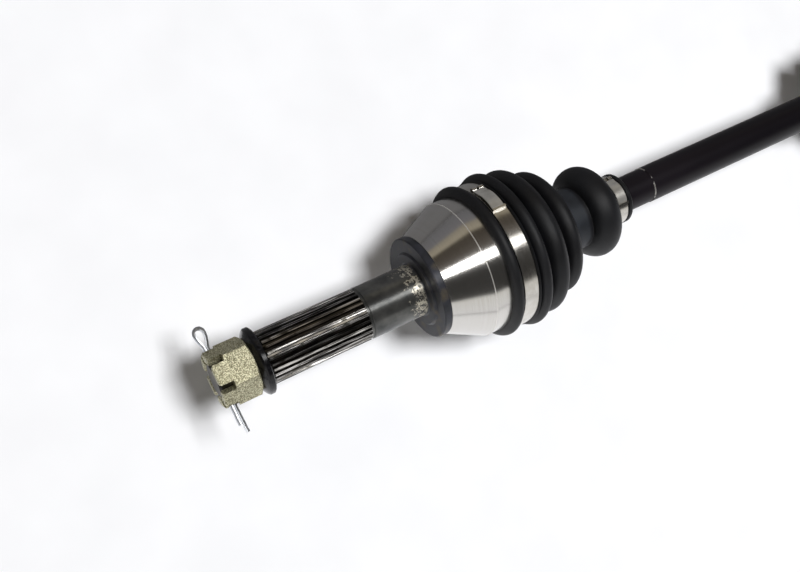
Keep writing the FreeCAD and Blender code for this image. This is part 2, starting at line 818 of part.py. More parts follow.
def tripod_spider():
    """Splined hub with three trunnions, the first at +Z, counted towards -Y."""
    hub = cylinder_x("spider_hub", hub_rad, -S.hub_half, S.hub_half * 2.0)
    reach = roller_circle + S.trunnion_len
    arms = []
    for k in range(3):
        arm = primitive("Part::Cylinder", "spider_arm_%d" % (k + 1), Radius=S.trunnion_rad,
                        Height=reach)
        arm.Placement = Placement(ORIGIN, around_x(120.0 * k))
        arms.append(arm)
    spider = cut("spider_cut", joined("spider_blank", [hub] + arms),
                 splined_hole("spider", S.hub_half))
    shift_x(spider, tripod_x)
    publish(spider, "tripod_spider")


def lay_on_trunnion(thing, k, along):
    """Places a shape drawn about Z on trunnion k, at a distance from the joint's centre."""
    angle = math.radians(120.0 * k)
    thing.Placement = Placement(ORIGIN, around_x(120.0 * k))
    shift_x(thing, tripod_x)
    thing.setExpression(".Placement.Base.y", (along * -math.sin(angle)).text)
    thing.setExpression(".Placement.Base.z", (along * math.cos(angle)).text)


def rollers():
    """On each trunnion: a roller with a ball-shaped rim, its needles, and the retaining ring."""
    for k in range(3):
        number = k + 1
        rim = primitive("Part::Sphere", "roller_rim_%d" % number, Radius=S.roller_rad)
        slab = primitive("Part::Cylinder", "roller_slab_%d" % number, Radius=S.roller_rad + 1.0,
                         Height=S.roller_width)
        slab.setExpression(".Placement.Base.z", (S.roller_width * -0.5).text)
        bore = primitive("Part::Cylinder", "roller_bore_%d" % number, Radius=roller_bore,
                         Height=S.roller_width + 2.0)
        bore.setExpression(".Placement.Base.z", (S.roller_width * -0.5 - 1.0).text)
        blank = common("roller_%d_blank" % number, [rim, slab])
        roller = cut("roller_%d_cut" % number, blank, bore)
        lay_on_trunnion(roller, k, roller_circle)
        publish(roller, "inner_roller_%d" % number)

        ring = S.trunnion_rad + S.needle_rad + 0.05
        pins = []
        for i in range(int(plain(S.needle_count))):
            turn = 2 * math.pi * i / plain(S.needle_count)
            pin = primitive("Part::Cylinder", "needle_%d_%d" % (number, i), Radius=S.needle_rad,
                            Height=S.needle_len)
            pin.setExpression(".Placement.Base.x", (ring * math.cos(turn)).text)
            pin.setExpression(".Placement.Base.y", (ring * math.sin(turn)).text)
            pin.setExpression(".Placement.Base.z", (S.needle_len * -0.5).text)
            pins.append(pin)
        needles = doc.addObject("Part::Compound", "needle_set_%d" % number)
        needles.Links = pins
        lay_on_trunnion(needles, k, roller_circle)
        publish(needles, "roller_needles_%d" % number)

        disc = primitive("Part::Cylinder", "retainer_disc_%d" % number, Radius=retainer_rad,
                         Height=S.retainer_thick)
        hole = primitive("Part::Cylinder", "retainer_hole_%d" % number, Radius=S.trunnion_rad + 0.02,
                         Height=S.retainer_thick)
        retainer = cut("retainer_%d_cut" % number, disc, hole)
        lay_on_trunnion(retainer, k, roller_circle + S.roller_width * 0.5 + 0.4)
        publish(retainer, "roller_retainer_%d" % number)


def inner_housing():
    """Tulip with three roller tracks, seal journal and splined gearbox stub, forged in one."""
    groove = tulip_rad - S.boot_groove_depth
    root = S.box_spline_rad - S.box_tooth_depth
    clip_floor = S.box_spline_rad - 1.4
    outline = [
        (tulip_rim, 0.0),
        (tulip_rim, tulip_rad - 0.8),
        (tulip_rim + 0.8, tulip_rad),
        (inner_band_start - 0.4, tulip_rad),
        (inner_band_start, groove),
        (inner_band_end, groove),
        (inner_band_end + 0.4, tulip_rad),
        (tulip_back - 9.0, tulip_rad),
        (tulip_back - 3.0, tulip_rad - 4.0),
        (tulip_back, tulip_rad - 13.0),
        (tulip_back + 1.5, S.journal_rad + 3.0),
        (tulip_back + 3.0, S.journal_rad),
        (journal_end - 0.8, S.journal_rad),
        (journal_end, S.journal_rad - 0.8),
        (journal_end, S.stub_neck_rad),
        (box_spline_start - 1.2, S.stub_neck_rad),
        (box_spline_start, root),
        (box_spline_start + 1.1, S.box_spline_rad),
        (box_clip_x, S.box_spline_rad),
        (box_clip_x, clip_floor),
        (box_clip_x + S.clip_thick + S.clip_play, clip_floor),
        (box_clip_x + S.clip_thick + S.clip_play, S.box_spline_rad),
        (box_spline_end - S.tip_chamfer, S.box_spline_rad),
        (box_spline_end, S.box_spline_rad - S.tip_chamfer),
        (box_spline_end, 0.0),
    ]
    blank = turned("tulip_blank", outline)
    cut_gaps(blank, "box_spline", box_spline_start, S.box_spline_len + 0.5,
             S.box_spline_rad, S.box_tooth_depth, S.box_teeth)
    depth = S.rim_before + S.floor_after
    start = -S.rim_before
    slots = []
    for k in range(3):
        angle = math.radians(120.0 * k)
        slot = cylinder_x("tulip_slot_%d" % (k + 1), S.roller_rad + S.track_play, start, depth)
        slot.setExpression(".Placement.Base.y", (roller_circle * -math.sin(angle)).text)
        slot.setExpression(".Placement.Base.z", (roller_circle * math.cos(angle)).text)
        slots.append(slot)
    limit = cylinder_x("tulip_slot_limit", hub_track_rad, start, depth)
    tracks = common("tulip_tracks", [joined("tulip_slots", slots), limit])
    core = cylinder_x("tulip_core", core_rad, start, depth)
    mouth = cone_x("tulip_mouth", start, S.rim_before, inner_mouth_rad, core_rad)
    ring = primitive("Part::Torus", "stop_groove", Radius1=stop_ring_rad + 0.4,
                     Radius2=S.stop_wire_rad + 0.25)
    ring.Placement = Placement(Vector(-plain(S.stop_before), 0, 0), ALONG_X)
    ring.setExpression(".Placement.Base.x", (-S.stop_before).text)
    cavity = joined("tulip_cavity", [tracks, core, mouth, ring])
    shift_x(cavity, tripod_x)
    publish(cut("inner_housing", blank, cavity), "inner_housing")


def stop_ring():
    """Wire ring near the tulip's rim that keeps the rollers in."""
    wire = primitive("Part::Torus", "stop_wire", Radius1=stop_ring_rad, Radius2=S.stop_wire_rad)
    wire.Angle3 = 335.0
    wire.Placement = Placement(ORIGIN, ALONG_X)
    shift_x(wire, tripod_x - S.stop_before)
    publish(wire, "housing_stop_ring")


# ---------------------------------------------------------------- boots

def outer_boot():
    """Rubber boot: lip and band land on the bell, three folds, sleeve, bead and shaft collar."""
    wall = S.boot_wall
    bell_in = bell_rad + S.boot_play
    groove_in = bell_rad - S.boot_groove_depth + S.boot_play
    shaft_in = land_rad + S.boot_play
    valley_one = (fold_one_x + fold_two_x) * 0.5
    valley_two = (fold_two_x + fold_three_x) * 0.5
    outside = [
        (boot_seat_x, outer_lip_rad - 3.2),
        (boot_seat_x + 1.2, outer_lip_rad - 0.8),
        (boot_seat_x + 3.0, outer_lip_rad),
        (band_start - 1.2, outer_lip_rad - 0.8),
        (band_start, outer_band_rad),
        (band_end, outer_band_rad),
        (band_end + 0.5, fold_one_rad - 1.8),
        (fold_one_x - 1.4, fold_one_rad),
        (fold_one_x + 1.4, fold_one_rad),
        (fold_one_x + S.fold_half, fold_one_rad - 2.4),
        (valley_one, valley_one_rad),
        (fold_two_x - S.fold_half, fold_two_rad - 1.8),
        (fold_two_x - 1.2, fold_two_rad),
        (fold_two_x + 1.2, fold_two_rad),
        (fold_two_x + S.fold_half, fold_two_rad - 2.4),
        (valley_two, valley_two_rad),
        (fold_three_x - S.fold_half, fold_three_rad - 1.2),
        (fold_three_x - 1.0, fold_three_rad),
        (fold_three_x + 1.0, fold_three_rad),
        (fold_three_x + S.fold_half, fold_three_rad - 3.0),
        (sleeve_x, sleeve_rad + 2.0),
        (sleeve_x + 2.0, sleeve_rad),
        (bead_x - S.bead_half, sleeve_rad),
        (bead_x - S.bead_half * 0.75, bead_rad - 3.2),
        (bead_x - S.bead_half * 0.35, bead_rad),
        (bead_x + S.bead_half * 0.35, bead_rad),
        (bead_x + S.bead_half * 0.75, bead_rad - 3.2),
        (bead_x + S.bead_half, sleeve_rad - 2.0),
        (collar_start - 0.4, collar_lip_rad),
        (collar_start, collar_rad),
        (collar_band_end, collar_rad),
        (collar_band_end, collar_lip_rad),
        (collar_end - 0.8, collar_lip_rad),
        (collar_end, collar_lip_rad - 0.8),
    ]
    inside = [
        (collar_end, shaft_in),
        (bead_x + S.bead_half * 0.8, shaft_in),
        (bead_x + S.bead_half * 0.5, bead_rad - wall * 2.0),
        (bead_x, bead_rad - wall),
        (bead_x - S.bead_half * 0.5, bead_rad - wall * 2.0),
        (bead_x - S.bead_half, sleeve_rad - wall),
        (sleeve_x + 1.0, sleeve_rad - wall),
        (fold_three_x + 2.6, fold_three_rad - wall * 2.2),
        (fold_three_x, fold_three_rad - wall),
        (fold_three_x - 2.6, fold_three_rad - wall * 1.6),
        (valley_two, valley_two_rad - wall),
        (fold_two_x + 2.4, fold_two_rad - wall * 2.0),
        (fold_two_x, fold_two_rad - wall),
        (fold_two_x - 2.4, fold_two_rad - wall * 1.8),
        (valley_one, valley_one_rad - wall),
        (fold_one_x + 2.4, fold_one_rad - wall * 2.0),
        (fold_one_x, bell_in + 0.4),
        (band_end - 0.5, bell_in),
        (band_end - 1.4, groove_in),
        (band_start - 2.6, groove_in),
        (band_start - 3.6, bell_in),
        (boot_seat_x, bell_in),
    ]
    publish(turned("outer_boot_body", outside + inside), "outer_boot")


def inner_fold(number):
    """Where one fold's crest lies along the axle, and the crest's radius."""
    share = (number + 0.5) / plain(S.inner_fold_count)
    crest_x = inner_fold_from + (inner_fold_to - inner_fold_from) * share
    crest = inner_first_rad + (inner_last_rad - inner_first_rad) * share
    return crest_x, crest


def inner_boot():
    """Rubber boot of the tripod joint; its two halves meet in the valley after the split fold."""
    wall = S.boot_wall
    folds = int(plain(S.inner_fold_count))
    half = (inner_fold_to - inner_fold_from) / (S.inner_fold_count * 2.0)
    shaft_in = land_rad + S.boot_play
    groove_in = tulip_rad - S.boot_groove_depth + S.boot_play
    tulip_in = tulip_rad + S.boot_play
    out_small = [
        (inner_collar_start, collar_lip_rad - 0.8),
        (inner_collar_start + 0.8, collar_lip_rad),
        (inner_collar_band, collar_lip_rad),
        (inner_collar_band, collar_rad),
        (inner_collar_end, collar_rad),
        (inner_collar_end, collar_lip_rad),
    ]
    in_small = [(inner_collar_start, shaft_in), (inner_collar_end + 1.0, shaft_in)]
    out_large = []
    in_large = []
    for number in range(folds):
        crest_x, crest = inner_fold(number)
        valley = crest - S.inner_fold_depth
        out_points = [
            (crest_x - half * 0.55, crest - 1.6),
            (crest_x - half * 0.2, crest),
            (crest_x + half * 0.2, crest),
            (crest_x + half * 0.55, crest - 1.6),
        ]
        in_points = [
            (crest_x - half * 0.5, crest - wall - 2.6),
            (crest_x, crest - wall),
            (crest_x + half * 0.5, crest - wall - 2.6),
        ]
        in_first = number <= int(plain(S.inner_split_fold))
        (out_small if in_first else out_large).extend(out_points)
        (in_small if in_first else in_large).extend(in_points)
        if number < folds - 1:
            valley_point = (crest_x + half, valley)
            valley_inside = (crest_x + half, valley - wall)
            if number == int(plain(S.inner_split_fold)):
                out_small.append(valley_point)
                in_small.append(valley_inside)
                out_large.append(valley_point)
                in_large.append(valley_inside)
            else:
                (out_small if in_first else out_large).append(valley_point)
                (in_small if in_first else in_large).append(valley_inside)
    out_large.extend([
        (tulip_rim + 1.0, inner_lip_rad - 1.2),
        (inner_band_start, inner_lip_rad - 1.2),
        (inner_band_start, inner_band_rad),
        (inner_band_end, inner_band_rad),
        (inner_band_end + 1.2, inner_lip_rad - 0.8),
        (inner_lip_end - 3.0, inner_lip_rad),
        (inner_lip_end - 1.2, inner_lip_rad - 0.8),
        (inner_lip_end, inner_lip_rad - 3.2),
    ])
    in_large.extend([
        (tulip_rim - 0.6, tulip_in),
        (inner_band_start - 0.6, tulip_in),
        (inner_band_start + 0.4, groove_in),
        (inner_band_end - 0.4, groove_in),
        (inner_band_end + 0.6, tulip_in),
        (inner_lip_end, tulip_in),
    ])
    publish(turned("inner_boot_small", out_small + in_small[::-1]), "inner_boot_neck")
    publish(turned("inner_boot_large", out_large + in_large[::-1]), "inner_boot_bellows")


# ---------------------------------------------------------------- clamps

def clamp(label, start, width, land, tail_from, tail_sweep):
    """Steel band clamp: a closed band, its overlapping outer tail, and the raised ear."""
    inside = land + S.clamp_play
    band = turned(label + "_band", [
        (0.0, inside), (width, inside), (width, inside + S.clamp_thick),
        (0.0, inside + S.clamp_thick)])
    body = doc.addObject("PartDesign::Body", label + "_tail")
    first = inside + S.clamp_thick
    sketch = closed_sketch(body, label + "_tail_section", "XY_Plane", [
        (width * 0.02, first - 0.1), (width * 0.98, first - 0.1),
        (width * 0.98, first + S.clamp_thick), (width * 0.02, first + S.clamp_thick)])
    turn = body.newObject("PartDesign::Revolution", label + "_tail_turn")
    turn.Profile = sketch
    turn.ReferenceAxis = (sketch, ["H_Axis"])
    turn.Angle = tail_sweep
    # a section drawn at +Y is turned from there; +Y is 90 degrees before +Z about X
    body.Placement = Placement(ORIGIN, Rotation(X_AXIS, 90.0 - tail_from - tail_sweep))
    ear = primitive("Part::Box", label + "_ear", Length=width * 0.5, Width=2.6,
                    Height=S.clamp_thick * 2.6)
    turn_back = tail_from + tail_sweep * 0.75
    ear.Placement = Placement(ORIGIN, Rotation(X_AXIS, -turn_back))
    sine = math.sin(math.radians(turn_back))
    cosine = math.cos(math.radians(turn_back))
    seat = first - 0.1
    ear.setExpression(".Placement.Base.x", (width * 0.25).text)
    ear.setExpression(".Placement.Base.y", (seat * sine - 1.3 * cosine).text)
    ear.setExpression(".Placement.Base.z", (seat * cosine + 1.3 * sine).text)
    whole = joined(label + "_whole", [band, body, ear])
    shift_x(whole, start)
    publish(whole, label)


# ---------------------------------------------------------------- building and writing

outer_housing()
slotted_nut()
conical_washer()
cotter_pin()
inner_race()
ball_cage()
balls()
retaining_clip("outer_race_clip", outer_clip_x, shaft_spline_rad - S.clip_depth, clip_rad)
axle_shaft()
tripod_spider()
rollers()
retaining_clip("spider_clip", inner_clip_x, shaft_spline_rad - S.clip_depth, clip_rad)
inner_housing()
stop_ring()
retaining_clip("gearbox_clip", box_clip_x + S.clip_play * 0.5, S.box_spline_rad - 1.4, S.box_clip_rad)
outer_boot()
inner_boot()
clamp("outer_large_clamp", band_start + 0.2, S.big_clamp_width, outer_band_rad, 30.0, 24.0)
clamp("outer_small_clamp", collar_start + 0.2, S.small_clamp_width, collar_rad, -15.0, 60.0)
clamp("inner_large_clamp", inner_band_start + 0.2, S.big_clamp_width, inner_band_rad, 30.0, 24.0)
clamp("inner_small_clamp", inner_collar_band + 0.2, S.small_clamp_width, collar_rad, -15.0, 60.0)

doc.recompute()

for thing in doc.Objects:
    if "Invalid" in thing.State or "Error" in thing.State:
        raise RuntimeError("%s did not recompute" % thing.Name)
for node in nodes:
    if node.Shape.isNull() or not node.Shape.isValid():
        raise RuntimeError("%s has a bad shape" % node.Label)

os.makedirs("parts", exist_ok=True)
for node in nodes:
    node.Shape.exportStep("parts/%s.step" % node.Label)
    print("%-22s %2d solid(s) %10.1f mm3" % (node.Label, len(node.Shape.Solids), node.Shape.Volume))
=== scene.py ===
import bpy
import numpy as np
from mathutils import Matrix, Vector


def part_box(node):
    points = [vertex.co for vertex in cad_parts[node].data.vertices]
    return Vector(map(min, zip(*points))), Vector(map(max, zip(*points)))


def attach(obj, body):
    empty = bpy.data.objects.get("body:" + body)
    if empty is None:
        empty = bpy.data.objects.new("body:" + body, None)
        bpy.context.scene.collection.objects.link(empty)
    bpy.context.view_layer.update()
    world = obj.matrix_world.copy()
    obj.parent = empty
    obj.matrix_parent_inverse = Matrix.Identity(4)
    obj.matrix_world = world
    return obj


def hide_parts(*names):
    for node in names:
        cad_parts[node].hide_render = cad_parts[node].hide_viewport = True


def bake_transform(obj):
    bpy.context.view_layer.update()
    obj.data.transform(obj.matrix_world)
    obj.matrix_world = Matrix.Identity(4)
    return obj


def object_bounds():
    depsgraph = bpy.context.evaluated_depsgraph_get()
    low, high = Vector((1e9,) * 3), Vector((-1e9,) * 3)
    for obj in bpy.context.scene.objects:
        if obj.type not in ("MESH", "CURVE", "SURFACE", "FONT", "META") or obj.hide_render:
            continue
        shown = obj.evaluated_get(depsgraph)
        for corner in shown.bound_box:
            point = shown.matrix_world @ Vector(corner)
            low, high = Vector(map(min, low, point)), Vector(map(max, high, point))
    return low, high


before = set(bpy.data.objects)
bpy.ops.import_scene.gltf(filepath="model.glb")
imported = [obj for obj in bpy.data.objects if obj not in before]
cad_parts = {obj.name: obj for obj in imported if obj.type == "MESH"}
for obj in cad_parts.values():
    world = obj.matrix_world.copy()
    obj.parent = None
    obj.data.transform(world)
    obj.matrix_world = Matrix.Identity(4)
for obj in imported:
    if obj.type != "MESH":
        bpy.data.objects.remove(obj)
cad_low, cad_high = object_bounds()

# A CV axle, laid on its boots. +X runs along the axle from the wheel to the gearbox, +Z is up.
# All sizes below are millimetres unless they say otherwise.

MM = 0.001
FLOOR_Z = cad_low.z / MM

# boots: wall, points round a ring, and how far apart the points of its outline stand
BOOT_WALL = 2.2
RING_POINTS = 160
OUTSIDE_STEP = 0.55
INSIDE_STEP = 1.6

# wheel-end boot: places along the axle and outside radii. A bulge is its middle, its half width,
# its crest's radius and its foot's radius.
BOOT_ENDS = (35.6, 134.6)
BOOT_LIP = (38.6, 3.0, 42.3, 37.8)
BOOT_BAND_RIM = (51.0, 0.8, 41.3, 38.0)
BOOT_FOLD_ONE = (55.6, 4.2, 43.2, 34.0)
BOOT_FOLD_TWO = (67.1, 6.6, 40.8, 30.0)
BOOT_FOLD_THREE = (80.9, 6.7, 34.8, 20.0)
BOOT_BEAD = (112.4, 8.7, 26.0, 16.8)
BOOT_SPLIT = 67.1                           # where the boot's two stretches meet
BELL_MOUTH = 53.6                           # up to here the boot has the bell inside it
BELL_RADIUS = 37.6
SHAFT_RADIUS = 10.35

# gearbox-end boot
INNER_BOOT_ENDS = (297.0, 411.0)
TULIP_RIM = 387.0
TULIP_RADIUS = 37.65
INNER_PITCH_SPLIT = 354.0
INNER_YAW_SPLIT = 368.0

# clamps: start along the axle, width, radius they sit on
OUTER_BIG_CLAMP = (41.8, 8.3, 39.5)
OUTER_SMALL_CLAMP = (123.6, 7.4, 13.2)
INNER_BIG_CLAMP = (396.5, 8.3, 39.5)
INNER_SMALL_CLAMP = (300.6, 7.4, 13.2)
# their straps: the angles of the lip and of the hooks, in degrees from +Z towards +Y
BIG_STRAP = (30.0, 54.0)
SMALL_STRAP = (-15.0, 45.0)

PIN_ROLL = 262.6                            # turns the split pin's eye to its slot, in degrees

BELL_RIDGE = 26.75                          # where the bell's cone meets its barrel
PAINT_STEP = 154.2                          # where the bar steps up beside the boot


# ---------------------------------------------------------------- meshes

def grid_faces(rows, columns, close_rows, close_columns):
    """Quads of a grid of points stored row by row, wrapped round in either direction."""
    i = np.arange(rows if close_rows else rows - 1)[:, None]
    j = np.arange(columns if close_columns else columns - 1)[None, :]
    here, right = i * columns + j, i * columns + (j + 1) % columns
    below, beyond = ((i + 1) % rows) * columns + j, ((i + 1) % rows) * columns + (j + 1) % columns
    return np.stack([here, right, beyond, below], axis=-1).reshape(-1, 4)


def end_caps(count, ring):
    """The two faces that close a tube made of count rings."""
    last = (count - 1) * ring
    return [list(range(ring)), list(range(last + ring - 1, last - 1, -1))]


def piece(name, points, faces, caps, material, sharp=35.0):
    """A mesh object from points in millimetres. Its faces are turned outwards by the sign of its
    volume, the sum of a . (b x c) over its triangles."""
    polygons = [list(f) for f in faces] + [list(c) for c in caps]
    mesh = bpy.data.meshes.new(name)
    mesh.from_pydata((points * MM).tolist(), [], polygons)
    mesh.update()
    mesh.calc_loop_triangles()
    corners = np.empty(len(mesh.loop_triangles) * 3, int)
    mesh.loop_triangles.foreach_get("vertices", corners)
    a, b, c = points[corners.reshape(-1, 3)].transpose(1, 0, 2)
    if np.einsum("ij,ij->i", a, np.cross(b, c)).sum() < 0:
        mesh.flip_normals()
    mesh.polygons.foreach_set("use_smooth", np.ones(len(mesh.polygons), bool))
    mesh.set_sharp_from_angle(angle=np.radians(sharp))
    mesh.materials.append(material)
    made = bpy.data.objects.new(name, mesh)
    bpy.context.collection.objects.link(made)
    return made


def turned_points(x, radius, count):
    """A loop of (x, radius) carried round the axle: y = -r sin a, z = r cos a for each angle a."""
    angle = np.linspace(0, 2 * np.pi, count, endpoint=False)
    points = np.empty((count, len(x), 3))
    points[..., 0] = x
    points[..., 1] = -radius * np.sin(angle)[:, None]
    points[..., 2] = radius * np.cos(angle)[:, None]
    return points.reshape(-1, 3), grid_faces(count, len(x), True, True)


def even_steps(x, radius, step):
    """The same line with its points an even distance apart along it."""
    along = np.concatenate([[0], np.cumsum(np.hypot(np.diff(x), np.diff(radius)))])
    even = np.linspace(0, along[-1], max(2, int(along[-1] / step) + 1))
    return np.interp(even, along, x), np.interp(even, along, radius)


def bulged(x, base, bulges, blend=0.45):
    """A base radius with round bulges on it: foot + (crest - foot) * sqrt(1 - u^2), u the distance
    from the bulge's middle over its half width, all joined by a soft maximum."""
    middle, half, crest, foot = np.array(bulges).T[:, :, None]
    u = (x - middle) / half
    rings = np.where(np.abs(u) < 1, foot + (crest - foot) * np.sqrt(np.clip(1 - u * u, 0, 1)), 0)
    layers = np.vstack([base, rings]) / blend
    top = layers.max(axis=0)
    return blend * (top + np.log(np.exp(layers - top).sum(axis=0)))


def wall_inside(x, radius, wall, least):
    """The line a wall's thickness below an outside line: at each x, the lowest of the circles of
    that radius hung from the line, and never less than the room the metal inside needs."""
    reach = np.linspace(-1, 1, 41)
    nearby = np.interp(x[:, None] + reach * wall, x, radius)
    return np.maximum((nearby - wall * np.sqrt(1 - reach ** 2)).min(axis=1), least)


def boot_stretch(name, x, outside, inside, material, first, last):
    """The closed ring of rubber between two places on the axle, turned from its cut wall."""
    keep = (x >= first) & (x <= last)
    out_x, out_r = even_steps(x[keep], outside[keep], OUTSIDE_STEP)
    in_x, in_r = even_steps(x[keep][::-1], inside[keep][::-1], INSIDE_STEP)
    points, faces = turned_points(np.concatenate([out_x, in_x]),
                                  np.concatenate([out_r, in_r]), RING_POINTS)
    return piece(name, points, faces, [], material)


def strap(name, angle, low, thickness, x_low, x_high, material):
    """A bent metal strap round the axle: at each angle a flat section with small chamfers, from
    radius low to low + thickness and from x_low to x_high, all four of them arrays over the
    angle."""
    u = np.array([-1, -.97, .97, 1, 1, .97, -.97, -1])
    v = np.array([.16, 0, 0, .16, .84, 1, 1, .84])
    x = (x_low + x_high)[:, None] / 2 + (x_high - x_low)[:, None] / 2 * u
    r = low[:, None] + thickness[:, None] * v
    points = np.stack([x, -r * np.sin(angle)[:, None], r * np.cos(angle)[:, None]], axis=-1)
    count, ring = len(angle), len(u)
    whole = abs(angle[-1] - angle[0]) > 6.0
    faces = grid_faces(count, ring, whole, True)
    caps = [] if whole else end_caps(count, ring)
    return piece(name, points.reshape(-1, 3), faces, caps, material, sharp=28.0)


def swept(path, section):
    """A closed section carried along a flat path: each section point is set across the path by its
    first number and square to the path's plane by its second. Path and plane are X and Z."""
    along = np.gradient(path, axis=0)
    along /= np.linalg.norm(along, axis=1)[:, None]
    across = np.stack([along[:, 1], -along[:, 0]], axis=1)
    flat = path[:, None, :] + across[:, None, :] * section[None, :, :1]
    aside = np.broadcast_to(section[:, 1], flat.shape[:2])
    points = np.stack([flat[..., 0], aside, flat[..., 1]], axis=-1)
    count, ring = len(path), len(section)
    return points.reshape(-1, 3), grid_faces(count, ring, False, True), end_caps(count, ring)


# ---------------------------------------------------------------- materials

def ink(code):
    """An sRGB hex colour as linear red, green, blue and a full alpha."""
    srgb = np.array([int(code[i:i + 2], 16) for i in (1, 3, 5)]) / 255
    linear = np.where(srgb <= 0.04045, srgb / 12.92, ((srgb + 0.055) / 1.055) ** 2.4)
    return (*linear.tolist(), 1.0)


def add(tree, kind, inputs=None, stops=(), **settings):
    """Adds one shader node with its settings and links. An input takes a number, a colour, an
    output, or a node, which stands for its first output in use. Stops are a ramp's places and
    colours."""
    node = tree.nodes.new("ShaderNode" + kind)
    for key, value in settings.items():
        setattr(node, key, value)
    for key, value in (inputs or {}).items():
        if isinstance(value, bpy.types.Node):
            value = next(socket for socket in value.outputs if socket.enabled)
        if isinstance(value, bpy.types.NodeSocket):
            tree.links.new(value, node.inputs[key])
        else:
            node.inputs[key].default_value = value
    while stops and len(node.color_ramp.elements) < len(stops):
        node.color_ramp.elements.new(0.5)
    for number, (place, colour) in enumerate(stops):
        node.color_ramp.elements[number].position = place
        node.color_ramp.elements[number].color = ink(colour)
    return node


def start(name):
    """An empty material, its tree, and the piece's own coordinates in metres."""
    material = bpy.data.materials.new(name)
    material.use_nodes = True
    tree = material.node_tree
    tree.nodes.clear()
    return material, tree, add(tree, "TexCoord").outputs["Object"]


def per_mm(size):
    """The scale that gives a pattern cells of this many millimetres."""
    return 1000.0 / size


def axle_place(tree, place):
    """How far along the axle, and how far from its axis, in millimetres."""
    parts = add(tree, "SeparateXYZ", {"Vector": place}).outputs
    flat = add(tree, "CombineXYZ", {"Y": parts[1], "Z": parts[2]})
    out = add(tree, "VectorMath", {0: flat}, operation="LENGTH")
    return (add(tree, "Math", {0: parts[0], 1: 1000.0}, operation="MULTIPLY"),
            add(tree, "Math", {0: out, 1: 1000.0}, operation="MULTIPLY"))


def along_axle(tree):
    """The tangent along the axle: a lathe's fine grooves smear reflections that way."""
    return add(tree, "VectorTransform", {"Vector": (1.0, 0.0, 0.0)}, vector_type="VECTOR",
               convert_from="OBJECT", convert_to="WORLD")


def finish(tree, material, numbers, patterns):
    """Joins the Principled shader: numbers that hold all over sit on its sockets, patterns are
    linked to it."""
    shader = add(tree, "BsdfPrincipled", {**numbers, **patterns})
    add(tree, "OutputMaterial", {"Surface": shader})
    return material


